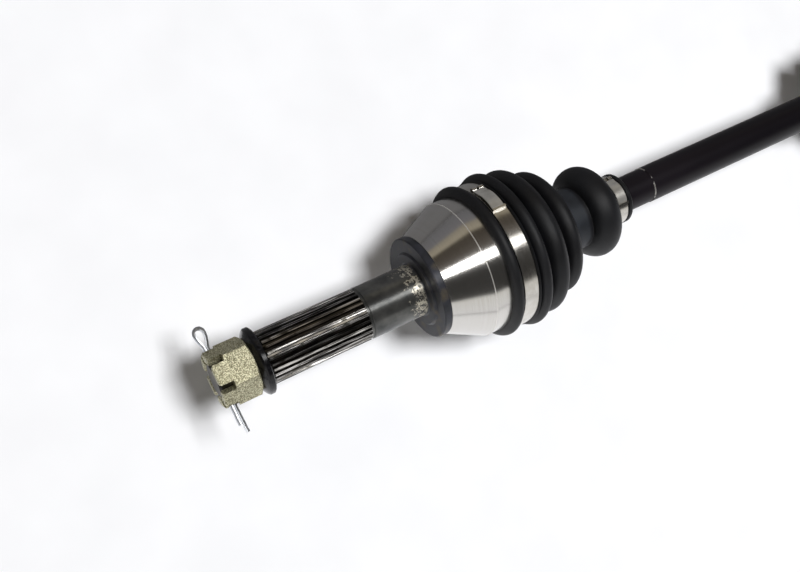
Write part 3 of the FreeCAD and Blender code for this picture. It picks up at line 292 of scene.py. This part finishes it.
def housing_steel():
    """Wheel-end housing, forged carbon steel. The bell is finish turned, so its reflections
    are drawn out along the axle with crisp edges. The shoulder keeps its black scale, stained
    brown by oil. The bearing seat is burnished dark, and rubbed bright and pitted beside the
    shoulder. The rolled spline is oily black with bright rubbed crests. Along the edge where
    the cone meets the barrel, a near-white line is painted on as a painted highlight."""
    material, tree, place = start("turned_housing_steel")
    x, radius = axle_place(tree, place)
    ringed = add(tree, "Mapping", {"Vector": place, "Scale": (1.0, 0.02, 0.02)})
    lathe = add(tree, "TexNoise", {"Vector": ringed, "Scale": per_mm(0.6), "Detail": 2.0})
    cloud = add(tree, "TexNoise", {"Vector": place, "Scale": per_mm(8.0), "Detail": 4.0})
    spots = add(tree, "TexNoise", {"Vector": place, "Scale": per_mm(3.2), "Detail": 6.0,
                                   "Roughness": 0.72})
    pits = add(tree, "TexNoise", {"Vector": place, "Scale": per_mm(1.1), "Detail": 4.0,
                                  "Roughness": 0.65})

    bell = add(tree, "ValToRGB", {"Fac": lathe}, [(0.3, "#d3d0cb"), (0.7, "#d9d7d3")])
    scale = add(tree, "ValToRGB", {"Fac": cloud},
                [(0.35, "#222428"), (0.55, "#32333a"), (0.74, "#575042")])

    # the seat: dark, with a rubbed patch that is widest at the shoulder, and pits in the patch
    near = add(tree, "MapRange", {"Value": x, "From Min": -16.0, "From Max": -2.0,
                                  "To Min": -0.05, "To Max": 0.26})
    level = add(tree, "Math", {0: spots, 1: near}, operation="ADD")
    rubbed = add(tree, "MapRange", {"Value": level, "From Min": 0.68, "From Max": 0.74})
    pitted = add(tree, "MapRange", {"Value": pits, "From Min": 0.52, "From Max": 0.57})
    dark = add(tree, "ValToRGB", {"Fac": cloud}, [(0.3, "#484949"), (0.7, "#6f6f6c")])
    bright = add(tree, "Mix", {0: pitted, 6: ink("#dcd6c6"), 7: ink("#2a2825")}, data_type="RGBA")
    seat = add(tree, "Mix", {0: rubbed, 6: dark, 7: bright}, data_type="RGBA")

    # the spline: each crest is rubbed to its own degree, so the noise is drawn out along the axle
    drawn = add(tree, "Mapping", {"Vector": place, "Scale": (0.035, 1.0, 1.0)})
    streak = add(tree, "TexNoise", {"Vector": drawn, "Scale": per_mm(0.6), "Detail": 4.0})
    crest = add(tree, "MapRange", {"Value": radius, "From Min": 13.2, "From Max": 13.7})
    worn = add(tree, "ValToRGB", {"Fac": streak},
               [(0.42, "#353433"), (0.52, "#84827e"), (0.6, "#f6f4f0")])
    oil_level = add(tree, "MapRange", {"Value": x, "From Min": -66.0, "From Max": -80.0,
                                       "To Min": 0.0, "To Max": 0.1})
    oil_cloud = add(tree, "Math", {0: cloud, 1: oil_level}, operation="ADD")
    oily = add(tree, "MapRange", {"Value": oil_cloud, "From Min": 0.6, "From Max": 0.72})
    worn = add(tree, "Mix", {0: oily, 6: worn, 7: ink("#4e4b43")}, data_type="RGBA")
    gaps = add(tree, "ValToRGB", {"Fac": cloud}, [(0.35, "#2e2d2c"), (0.62, "#56524b")])
    spline = add(tree, "Mix", {0: crest, 6: gaps, 7: worn}, data_type="RGBA")

    on_seat = add(tree, "MapRange", {"Value": x, "From Min": -31.9, "From Max": -31.5})
    on_shoulder = add(tree, "MapRange", {"Value": x, "From Min": -0.4, "From Max": 0.4})
    on_bell = add(tree, "MapRange", {"Value": x, "From Min": 6.35, "From Max": 6.5})
    colour = add(tree, "Mix", {0: on_seat, 6: spline, 7: seat}, data_type="RGBA")
    colour = add(tree, "Mix", {0: on_shoulder, 6: colour, 7: scale}, data_type="RGBA")
    colour = add(tree, "Mix", {0: on_bell, 6: colour, 7: bell}, data_type="RGBA")
    # a painted highlight: a near-white, rougher and less metallic line along the ridge where the
    # cone meets the barrel
    from_ridge = add(tree, "Math", {0: x, 1: BELL_RIDGE}, operation="SUBTRACT")
    off_ridge = add(tree, "Math", {0: from_ridge}, operation="ABSOLUTE")
    painted_highlight_band = add(tree, "MapRange", {"Value": off_ridge, "From Min": 0.26, "From Max": 0.08,
                                      "To Min": 0.0, "To Max": 0.55})
    colour = add(tree, "Mix", {0: painted_highlight_band, 6: colour, 7: ink("#efece7")}, data_type="RGBA")

    rough_seat = add(tree, "MapRange", {"Value": spots, "From Min": 0.3, "From Max": 0.7,
                                        "To Min": 0.3, "To Max": 0.42})
    rough_scale = add(tree, "MapRange", {"Value": cloud, "From Min": 0.3, "From Max": 0.7,
                                         "To Min": 0.36, "To Max": 0.5})
    rough_bell = add(tree, "MapRange", {"Value": lathe, "From Min": 0.3, "From Max": 0.7,
                                        "To Min": 0.18, "To Max": 0.19})
    rough = add(tree, "Mix", {0: on_seat, 2: 0.3, 3: rough_seat})
    rough = add(tree, "Mix", {0: on_shoulder, 2: rough, 3: rough_scale})
    rough = add(tree, "Mix", {0: on_bell, 2: rough, 3: rough_bell})
    rough = add(tree, "Mix", {0: painted_highlight_band, 2: rough, 3: 0.6})

    # scale and the seat's oily film are only partly metal to the eye, and scatter some light
    metal = add(tree, "Mix", {0: on_seat, 2: 1.0, 3: 0.8})
    metal = add(tree, "Mix", {0: on_shoulder, 2: metal, 3: 0.35})
    metal = add(tree, "Mix", {0: on_bell, 2: metal, 3: 1.0})
    metal = add(tree, "Mix", {0: painted_highlight_band, 2: metal, 3: 0.4})

    off_bell = add(tree, "Math", {0: 1.0, 1: on_bell}, operation="SUBTRACT")
    relief = add(tree, "Math", {0: pits, 1: off_bell}, operation="MULTIPLY")
    normal = add(tree, "Bump", {"Height": relief, "Distance": 0.02 * MM})
    return finish(tree, material,
                  {"Anisotropic": 0.8},
                  {"Base Color": colour, "Metallic": metal, "Roughness": rough,
                   "Normal": normal, "Tangent": along_axle(tree)})


def turned_steel(name, light, dark, rough, line=0.4):
    """Turned or ground steel: fine circular tool lines that smear reflections along the axle."""
    material, tree, place = start(name)
    ringed = add(tree, "Mapping", {"Vector": place, "Scale": (1.0, 0.03, 0.03)})
    lathe = add(tree, "TexNoise", {"Vector": ringed, "Scale": per_mm(line), "Detail": 2.0})
    cloud = add(tree, "TexNoise", {"Vector": place, "Scale": per_mm(6.0), "Detail": 3.0})
    mixed = add(tree, "Math", {0: lathe, 1: cloud}, operation="MULTIPLY")
    colour = add(tree, "ValToRGB", {"Fac": mixed}, [(0.12, dark), (0.4, light)])
    roughness = add(tree, "MapRange", {"Value": lathe, "From Min": 0.3, "From Max": 0.7,
                                       "To Min": rough, "To Max": rough + 0.08})
    normal = add(tree, "Bump", {"Height": lathe, "Distance": 0.006 * MM})
    return finish(tree, material,
                  {"Metallic": 1.0, "Anisotropic": 0.6},
                  {"Base Color": colour, "Roughness": roughness, "Normal": normal,
                   "Tangent": along_axle(tree)})


def hardened_steel(name, light, dark, rough, grain):
    """Hardened small steel part, tumbled or lapped: an even grey with a faint cloud."""
    material, tree, place = start(name)
    cloud = add(tree, "TexNoise", {"Vector": place, "Scale": per_mm(grain), "Detail": 4.0})
    colour = add(tree, "ValToRGB", {"Fac": cloud}, [(0.35, dark), (0.68, light)])
    roughness = add(tree, "MapRange", {"Value": cloud, "From Min": 0.3, "From Max": 0.7,
                                       "To Min": rough, "To Max": rough + 0.12})
    normal = add(tree, "Bump", {"Height": cloud, "Distance": 0.006 * MM})
    return finish(tree, material, {"Metallic": 1.0},
                  {"Base Color": colour, "Roughness": roughness, "Normal": normal})


def boot_rubber():
    """Moulded chloroprene rubber: satin black with a faint bluish bloom, greyer on the straight
    sleeve, and a very fine grain from the mould."""
    material, tree, place = start("chloroprene_rubber")
    x = axle_place(tree, place)[0]
    bloom = add(tree, "TexNoise", {"Vector": place, "Scale": per_mm(14.0), "Detail": 4.0})
    grain = add(tree, "TexNoise", {"Vector": place, "Scale": per_mm(0.5), "Detail": 2.0})
    # the straight sleeve round x = 94.5 is made greyer
    from_sleeve = add(tree, "Math", {0: x, 1: 94.5}, operation="SUBTRACT")
    off_sleeve = add(tree, "Math", {0: from_sleeve}, operation="ABSOLUTE")
    greyer_on_sleeve = add(tree, "MapRange", {"Value": off_sleeve, "From Min": 9.0, "From Max": 6.5,
                                     "To Min": 0.0, "To Max": 0.45})
    level = add(tree, "Math", {0: bloom, 1: greyer_on_sleeve}, operation="ADD")
    colour = add(tree, "ValToRGB", {"Fac": level},
                 [(0.35, "#08080b"), (0.7, "#0f1014"), (1.0, "#22252a")])
    roughness = add(tree, "MapRange", {"Value": bloom, "From Min": 0.3, "From Max": 0.7,
                                       "To Min": 0.46, "To Max": 0.56})
    normal = add(tree, "Bump", {"Height": grain, "Distance": 0.015 * MM})
    return finish(tree, material, {"IOR": 1.5, "Specular IOR Level": 0.38},
                  {"Base Color": colour, "Roughness": roughness, "Normal": normal})


def band_stainless(name, light, dark, rough, metal=1.0):
    """Cold-rolled stainless strip: its rolling lines run round the axle and smear reflections
    along it."""
    material, tree, place = start(name)
    ringed = add(tree, "Mapping", {"Vector": place, "Scale": (1.0, 0.05, 0.05)})
    lines = add(tree, "TexNoise", {"Vector": ringed, "Scale": per_mm(0.35), "Detail": 2.0})
    cloud = add(tree, "TexNoise", {"Vector": place, "Scale": per_mm(5.0), "Detail": 3.0})
    colour = add(tree, "ValToRGB", {"Fac": cloud}, [(0.3, dark), (0.7, light)])
    roughness = add(tree, "MapRange", {"Value": lines, "From Min": 0.3, "From Max": 0.7,
                                       "To Min": rough, "To Max": rough + 0.08})
    return finish(tree, material,
                  {"Metallic": metal, "Anisotropic": 0.5},
                  {"Base Color": colour, "Roughness": roughness, "Tangent": along_axle(tree)})


def yellow_zinc():
    """Zinc plate with a yellow chromate: olive gold, with crystals about 0.4 mm across that each
    catch the light their own way, and painted glints: some crystals are painted a pale gold."""
    material, tree, place = start("yellow_chromate_zinc")
    crystals = add(tree, "TexVoronoi", {"Vector": place, "Scale": per_mm(0.36)})
    facet = add(tree, "SeparateXYZ", {"Vector": crystals.outputs["Color"]}).outputs
    cloud = add(tree, "TexNoise", {"Vector": place, "Scale": per_mm(7.0), "Detail": 3.0})
    ground_tone = add(tree, "ValToRGB", {"Fac": cloud}, [(0.35, "#716d54"), (0.65, "#878268")])
    # painted glints: the crystals picked by their cell colour are painted a pale gold
    painted_glint = add(tree, "MapRange", {"Value": facet[0], "From Min": 0.4, "From Max": 0.8})
    colour = add(tree, "Mix", {0: painted_glint, 6: ground_tone, 7: ink("#d9d5b6")}, data_type="RGBA")
    roughness = add(tree, "MapRange", {"Value": facet[2], "To Min": 0.36, "To Max": 0.5})
    normal = add(tree, "Bump", {"Height": facet[1], "Distance": 0.08 * MM})
    return finish(tree, material, {"Metallic": 0.7},
                  {"Base Color": colour, "Roughness": roughness, "Normal": normal})


def bright_zinc():
    """Drawn wire with a clear zinc plate: bluish silver, with small dulled spots."""
    material, tree, place = start("clear_zinc_wire")
    spots = add(tree, "TexNoise", {"Vector": place, "Scale": per_mm(2.5), "Detail": 2.0})
    colour = add(tree, "ValToRGB", {"Fac": spots}, [(0.35, "#c3c7cc"), (0.65, "#dfe2e6")])
    roughness = add(tree, "MapRange", {"Value": spots, "From Min": 0.3, "From Max": 0.7,
                                       "To Min": 0.3, "To Max": 0.4})
    return finish(tree, material, {"Metallic": 1.0},
                  {"Base Color": colour, "Roughness": roughness})


def black_oxide():
    """Blued spring steel, oiled: black and glossy, with a painted highlight that lightens the rim.
    """
    material, tree, place = start("oiled_black_oxide")
    radius = axle_place(tree, place)[1]
    mottle = add(tree, "TexNoise", {"Vector": place, "Scale": per_mm(1.5), "Detail": 4.0})
    # a painted highlight: the colour is lightened towards the outer rim
    rim_highlight = add(tree, "MapRange", {"Value": radius, "From Min": 16.7, "From Max": 17.5,
                                 "To Min": 0.0, "To Max": 0.25})
    level = add(tree, "Math", {0: mottle, 1: rim_highlight}, operation="ADD")
    colour = add(tree, "ValToRGB", {"Fac": level},
                 [(0.4, "#040405"), (0.72, "#09090b"), (0.9, "#1c1c1f")])
    roughness = add(tree, "MapRange", {"Value": mottle, "From Min": 0.3, "From Max": 0.7,
                                       "To Min": 0.16, "To Max": 0.24})
    return finish(tree, material, {"IOR": 1.5, "Specular IOR Level": 0.35},
                  {"Base Color": colour, "Roughness": roughness})


def black_paint():
    """Sprayed black enamel over the bar: satin with a faint orange peel, warm where thin, and a
    bright line where the paint is scraped off the step beside the boot."""
    material, tree, place = start("black_enamel")
    x = axle_place(tree, place)[0]
    peel = add(tree, "TexNoise", {"Vector": place, "Scale": per_mm(2.4), "Detail": 1.0})
    drawn = add(tree, "Mapping", {"Vector": place, "Scale": (0.3, 1.0, 1.0)})
    film = add(tree, "TexNoise", {"Vector": drawn, "Scale": per_mm(30.0), "Detail": 3.0})
    paint = add(tree, "ValToRGB", {"Fac": film}, [(0.35, "#070609"), (0.7, "#120e13")])
    past_step = add(tree, "Math", {0: x, 1: PAINT_STEP}, operation="SUBTRACT")
    off_step = add(tree, "Math", {0: past_step}, operation="ABSOLUTE")
    on_step = add(tree, "MapRange", {"Value": off_step, "From Min": 0.4, "From Max": 0.15})
    chips = add(tree, "TexNoise", {"Vector": place, "Scale": per_mm(5.0), "Detail": 3.0})
    chipped = add(tree, "MapRange", {"Value": chips, "From Min": 0.46, "From Max": 0.54})
    scraped = add(tree, "Math", {0: on_step, 1: chipped}, operation="MULTIPLY")
    colour = add(tree, "Mix", {0: scraped, 6: paint, 7: ink("#c9c7c3")}, data_type="RGBA")
    roughness = add(tree, "MapRange", {"Value": film, "From Min": 0.3, "From Max": 0.7,
                                       "To Min": 0.34, "To Max": 0.44})
    normal = add(tree, "Bump", {"Height": peel, "Distance": 0.012 * MM})
    return finish(tree, material, {"IOR": 1.5, "Specular IOR Level": 0.2},
                  {"Base Color": colour, "Metallic": scraped, "Roughness": roughness,
                   "Normal": normal})


rubber = boot_rubber()
stainless = band_stainless("rolled_stainless_band", "#dad7d1", "#c6c2ba", 0.17)
satin_stainless = band_stainless("satin_stainless_strap", "#c4c2bd", "#b1afa9", 0.34, 0.75)
zinc_wire = bright_zinc()
machined = turned_steel("machined_stub_steel", "#d2d0cb", "#8d8a84", 0.2)
ground = turned_steel("ground_bearing_steel", "#e0dfdd", "#a9a7a4", 0.12, 0.25)
lapped = hardened_steel("lapped_ball_steel", "#d8d9db", "#b6b7ba", 0.06, 5.0)
phosphated = hardened_steel("phosphated_cage_steel", "#4b4a49", "#2c2b2b", 0.42, 1.2)
sprung = hardened_steel("blued_spring_wire", "#4a4d55", "#24262c", 0.3, 2.0)

FINISHES = {
    "outer_housing": housing_steel(),
    "slotted_nut": yellow_zinc(),
    "conical_washer": black_oxide(),
    "axle_shaft": black_paint(),
    "outer_inner_race": ground,
    "outer_cage": phosphated,
    "tripod_spider": ground,
    "inner_housing": machined,
    "outer_race_clip": sprung,
    "spider_clip": sprung,
    "housing_stop_ring": sprung,
    "gearbox_clip": sprung,
    **{"outer_ball_%d" % k: lapped for k in range(1, 7)},
    **{"inner_roller_%d" % k: ground for k in range(1, 4)},
    **{"roller_needles_%d" % k: lapped for k in range(1, 4)},
    **{"roller_retainer_%d" % k: sprung for k in range(1, 4)},
}
for node, surface in FINISHES.items():
    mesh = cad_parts[node].data
    mesh.materials.clear()
    mesh.materials.append(surface)


# ---------------------------------------------------------------- wheel-end boot

def wheel_boot():
    """Two rings of rubber that meet on the second fold's crest, one on the shaft's side and one on
    the bell's side."""
    x = np.linspace(*BOOT_ENDS, 4000)
    base_x = [35.6, 50.6, 60.7, 74.0, 83.0, 87.4, 103.0, 121.4, 123.4, 131.4, 132.0, 133.9, 134.6]
    base_r = [39.0, 39.0, 35.4, 30.8, 25.0, 17.6, 17.6, 14.2, 13.0, 13.0, 14.3, 14.3, 13.6]
    outside = bulged(x, np.interp(x, base_x, base_r),
                     [BOOT_LIP, BOOT_BAND_RIM, BOOT_FOLD_ONE, BOOT_FOLD_TWO, BOOT_FOLD_THREE,
                      BOOT_BEAD])
    metal = np.where(x < BELL_MOUTH, BELL_RADIUS, SHAFT_RADIUS)
    inside = wall_inside(x, outside, BOOT_WALL, metal)
    near = boot_stretch("boot_bell_side", x, outside, inside, rubber, BOOT_ENDS[0], BOOT_SPLIT)
    far = boot_stretch("boot_shaft_side", x, outside, inside, rubber, BOOT_SPLIT, BOOT_ENDS[1])
    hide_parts("outer_boot")
    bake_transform(far)
    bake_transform(near)


def gearbox_boot():
    """Three rings of rubber, cut apart at two places along the boot between its neck and its
    mouth on the tripod joint's housing."""
    x = np.linspace(*INNER_BOOT_ENDS, 4000)
    crest_x = 315.9 + 69.6 * (np.arange(5) + 0.5) / 5
    crest_r = np.linspace(32.0, 40.0, 5)
    folds = [(cx, 6.9, cr, cr - 9.0) for cx, cr in zip(crest_x, crest_r)]
    folds.append((408.0, 3.0, 42.3, 37.8))
    base_x = [297.0, 297.8, 299.6, 300.4, 308.2, 309.4, 313.0, 325.0, 380.0, 396.0, 411.0]
    base_r = [13.6, 14.3, 14.3, 12.9, 12.9, 14.5, 22.0, 26.0, 33.0, 39.2, 39.2]
    outside = bulged(x, np.interp(x, base_x, base_r), folds)
    metal = np.where(x > TULIP_RIM - 0.6, TULIP_RADIUS, SHAFT_RADIUS)
    inside = wall_inside(x, outside, BOOT_WALL, metal)
    neck = boot_stretch("inner_boot_shaft_side", x, outside, inside, rubber,
                        INNER_BOOT_ENDS[0], INNER_PITCH_SPLIT)
    waist = boot_stretch("inner_boot_middle", x, outside, inside, rubber,
                         INNER_PITCH_SPLIT, INNER_YAW_SPLIT)
    mouth = boot_stretch("inner_boot_housing_side", x, outside, inside, rubber,
                         INNER_YAW_SPLIT, INNER_BOOT_ENDS[1])
    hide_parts("inner_boot_neck")
    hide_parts("inner_boot_bellows")
    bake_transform(neck)
    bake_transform(waist)
    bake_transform(mouth)


# ---------------------------------------------------------------- clamps

def clamp(label, body, start_x, width, seat, lip_angle, hook_angle):
    """Band clamp: a closed band, the raised strap that is drawn over it, the turned-up lip at the
    strap's end, and two hooks at its root. Angles are degrees from +Z towards +Y."""
    parts = []
    whole = np.radians(np.linspace(0, 360, 200, endpoint=False))
    flat = np.ones_like(whole)
    parts.append(strap(label + "_band", whole, seat * flat, 0.75 * flat,
                       start_x * flat, (start_x + width) * flat, stainless))
    angle = np.linspace(lip_angle, hook_angle, 60)
    share = np.linspace(0, 1, 60)
    lift = 0.95 + 0.85 * np.sin(np.pi * np.clip(share * 1.25, 0, 1)) ** 0.6
    parts.append(strap(label + "_strap", -np.radians(angle), seat + lift, np.full(60, 0.7),
                       np.full(60, start_x + 0.7), np.full(60, start_x + width - 0.7),
                       satin_stainless))
    lip = -np.radians(np.linspace(lip_angle - 70 / seat, lip_angle, 8))
    parts.append(strap(label + "_lip", lip, np.full(8, seat + 0.7), np.full(8, 1.7),
                       np.full(8, start_x + 0.15), np.full(8, start_x + width - 0.15), stainless))
    step = 110 / seat
    for number, (low, high) in enumerate(((0.1, 0.42), (0.58, 0.9)), start=1):
        turn = np.linspace(hook_angle + step * 0.2, hook_angle + step * 1.6, 16)
        rise = 0.7 + 1.1 * np.sin(np.linspace(0, np.pi, 16)) ** 0.7
        parts.append(strap("%s_hook_%d" % (label, number), -np.radians(turn), seat + rise,
                           np.full(16, 0.6), np.full(16, start_x + width * low),
                           np.full(16, start_x + width * high), stainless))
    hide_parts(label)
    for part in parts:
        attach(part, body)


# ---------------------------------------------------------------- split pin

def split_pin():
    """Half-round wire: up the long leg, round a drop-shaped eye and down the short leg. The
    eye's line is u = a sin t (1 - cos t), w = foot + length (1 - cos t) / 2 over one turn of t."""
    foot, eye, half = 15.8, 10.0, 1.72
    peak = 1.299                            # the greatest value of sin t (1 - cos t)
    long_leg, short_leg, gap = -29.0, -24.6, 0.22
    t = np.linspace(0, 2 * np.pi, 121)
    loop_u = half * np.sin(t) * (1 - np.cos(t)) / peak + gap * np.cos(t / 2)
    loop_w = foot + eye * (1 - np.cos(t)) / 2
    rise = np.linspace(long_leg, foot, 40)[:-1]
    fall = np.linspace(foot, short_leg, 40)[1:]
    spread = 0.35 * np.clip((-14 - rise) / 15, 0, 1) ** 1.5
    path = np.concatenate([
        np.stack([gap + spread, rise], axis=1),
        np.stack([loop_u, loop_w], axis=1),
        np.stack([np.full(len(fall), -gap), fall], axis=1)])
    turn = np.linspace(0, np.pi, 13)
    section = np.stack([1.62 * np.sin(turn), -1.72 * np.cos(turn)], axis=1)
    return swept(path, section)


def lay_split_pin():
    """Turns the split pin about the axle to its slot and moves it to its hole."""
    points, faces, caps = split_pin()
    low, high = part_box("cotter_pin")
    middle = (low.x + high.x) / 2 / MM
    roll = np.radians(PIN_ROLL)
    x, y, z = points.T
    turned = np.stack([x + middle, y * np.cos(roll) - z * np.sin(roll),
                       y * np.sin(roll) + z * np.cos(roll)], axis=1)
    pin = piece("split_pin", turned, faces, caps, zinc_wire, sharp=50.0)
    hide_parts("cotter_pin")
    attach(pin, "outer_housing")


wheel_boot()
gearbox_boot()
clamp("outer_large_clamp", "outer_housing", *OUTER_BIG_CLAMP, *BIG_STRAP)
clamp("outer_small_clamp", "axle_shaft", *OUTER_SMALL_CLAMP, *SMALL_STRAP)
clamp("inner_large_clamp", "inner_housing", *INNER_BIG_CLAMP, *BIG_STRAP)
clamp("inner_small_clamp", "axle_shaft", *INNER_SMALL_CLAMP, *SMALL_STRAP)
lay_split_pin()


# ---------------------------------------------------------------- studio

def plain_surface(name, light, dark, rough):
    """Matt painted card with a very faint cloud."""
    material, tree, place = start(name)
    cloud = add(tree, "TexNoise", {"Vector": place, "Scale": per_mm(40.0), "Detail": 2.0})
    colour = add(tree, "ValToRGB", {"Fac": cloud}, [(0.3, dark), (0.7, light)])
    return finish(tree, material, {"Roughness": rough, "Specular IOR Level": 0.2},
                  {"Base Color": colour})


def sheet(name, corners, material):
    """One flat card of the studio."""
    mesh = bpy.data.meshes.new(name)
    mesh.from_pydata(corners, [], [(0, 1, 2, 3)])
    mesh.materials.append(material)
    made = bpy.data.objects.new(name, mesh)
    bpy.context.collection.objects.link(made)
    return made


def lamp(name, place, aim, size, power, in_reflections):
    """A rectangular soft light that faces a point. It is either only what shiny metal reflects, or
    only what lights the scene."""
    data = bpy.data.lights.new(name, "AREA")
    data.shape = "RECTANGLE"
    data.size, data.size_y = size
    data.energy = power
    made = bpy.data.objects.new(name, data)
    made.location = place
    made.rotation_euler = (Vector(aim) - Vector(place)).to_track_quat("-Z", "Y").to_euler()
    made.visible_glossy = in_reflections
    made.visible_diffuse = not in_reflections
    bpy.context.collection.objects.link(made)


def room():
    """Soft grey surroundings that change round the axle: pale low on the -Y side, dark above, and
    a warm band high on the +Y side, which the turned steel shows as dark and light strips."""
    world = bpy.data.worlds.new("room")
    bpy.context.scene.world = world
    world.use_nodes = True
    tree = world.node_tree
    tree.nodes.clear()
    way = add(tree, "SeparateXYZ", {"Vector": add(tree, "TexCoord").outputs["Generated"]}).outputs
    turn = add(tree, "Math", {0: way[1], 1: way[2]}, operation="ARCTAN2")
    share = add(tree, "MapRange", {"Value": turn, "From Min": -np.pi / 2, "From Max": np.pi / 2})
    colour = add(tree, "ValToRGB", {"Fac": share},
                 [(0.0, "#f0f0f2"), (0.155, "#e6e5e2"), (0.18, "#3f3e3d"), (0.44, "#3a3938"),
                  (0.60, "#5c5650"), (0.755, "#453f38"), (0.785, "#a8a08f"),
                  (0.85, "#958e80"), (0.875, "#77767a"), (1.0, "#6e6e71")])
    back = add(tree, "Background", {"Color": colour, "Strength": 1.0})
    add(tree, "OutputWorld", {"Surface": back})


room()
floor_z = FLOOR_Z * MM - 0.0002
sheet("floor", [(-4, -4, floor_z), (4, -4, floor_z), (4, 4, floor_z), (-4, 4, floor_z)],
      plain_surface("floor_card", "#f4f5f8", "#f0f1f4", 0.7))
# a grey card that only reflections see: it keeps the floor out of the axle's +Y side
flag = sheet("grey_flag", [(-2, 0.03, floor_z + 0.001), (3, 0.03, floor_z + 0.001),
                           (3, 3, floor_z + 0.001), (-2, 3, floor_z + 0.001)],
             plain_surface("grey_card", "#6f6f71", "#6b6b6d", 0.9))
flag.visible_camera = flag.visible_diffuse = flag.visible_shadow = False
lamp("ceiling_strip", (-0.27, 0.055, 1.0), (-0.27, 0.055, 0.0), (1.6, 0.25), 8.5, True)
lamp("soft_box", (0.45, -0.12, 2.5), (0.0, 0.0, 0.0), (0.7, 0.7), 68.0, False)

camera = bpy.data.objects.new("camera", bpy.data.cameras.new("camera"))
bpy.context.collection.objects.link(camera)
camera.data.sensor_width = 36.0
camera.data.lens = 45.0
back = Vector((-0.348, 0.0, 0.937)).normalized()
right = Vector((0.854, -0.411, 0.317)).normalized()
up = back.cross(right)
camera.matrix_world = Matrix((
    (right.x, up.x, back.x, -0.1845),
    (right.y, up.y, back.y, 0.0048),
    (right.z, up.z, back.z, 0.4815),
    (0, 0, 0, 1)))
camera.data.clip_start = 0.01
bpy.context.scene.camera = camera
bpy.context.scene.view_settings.view_transform = "Standard"
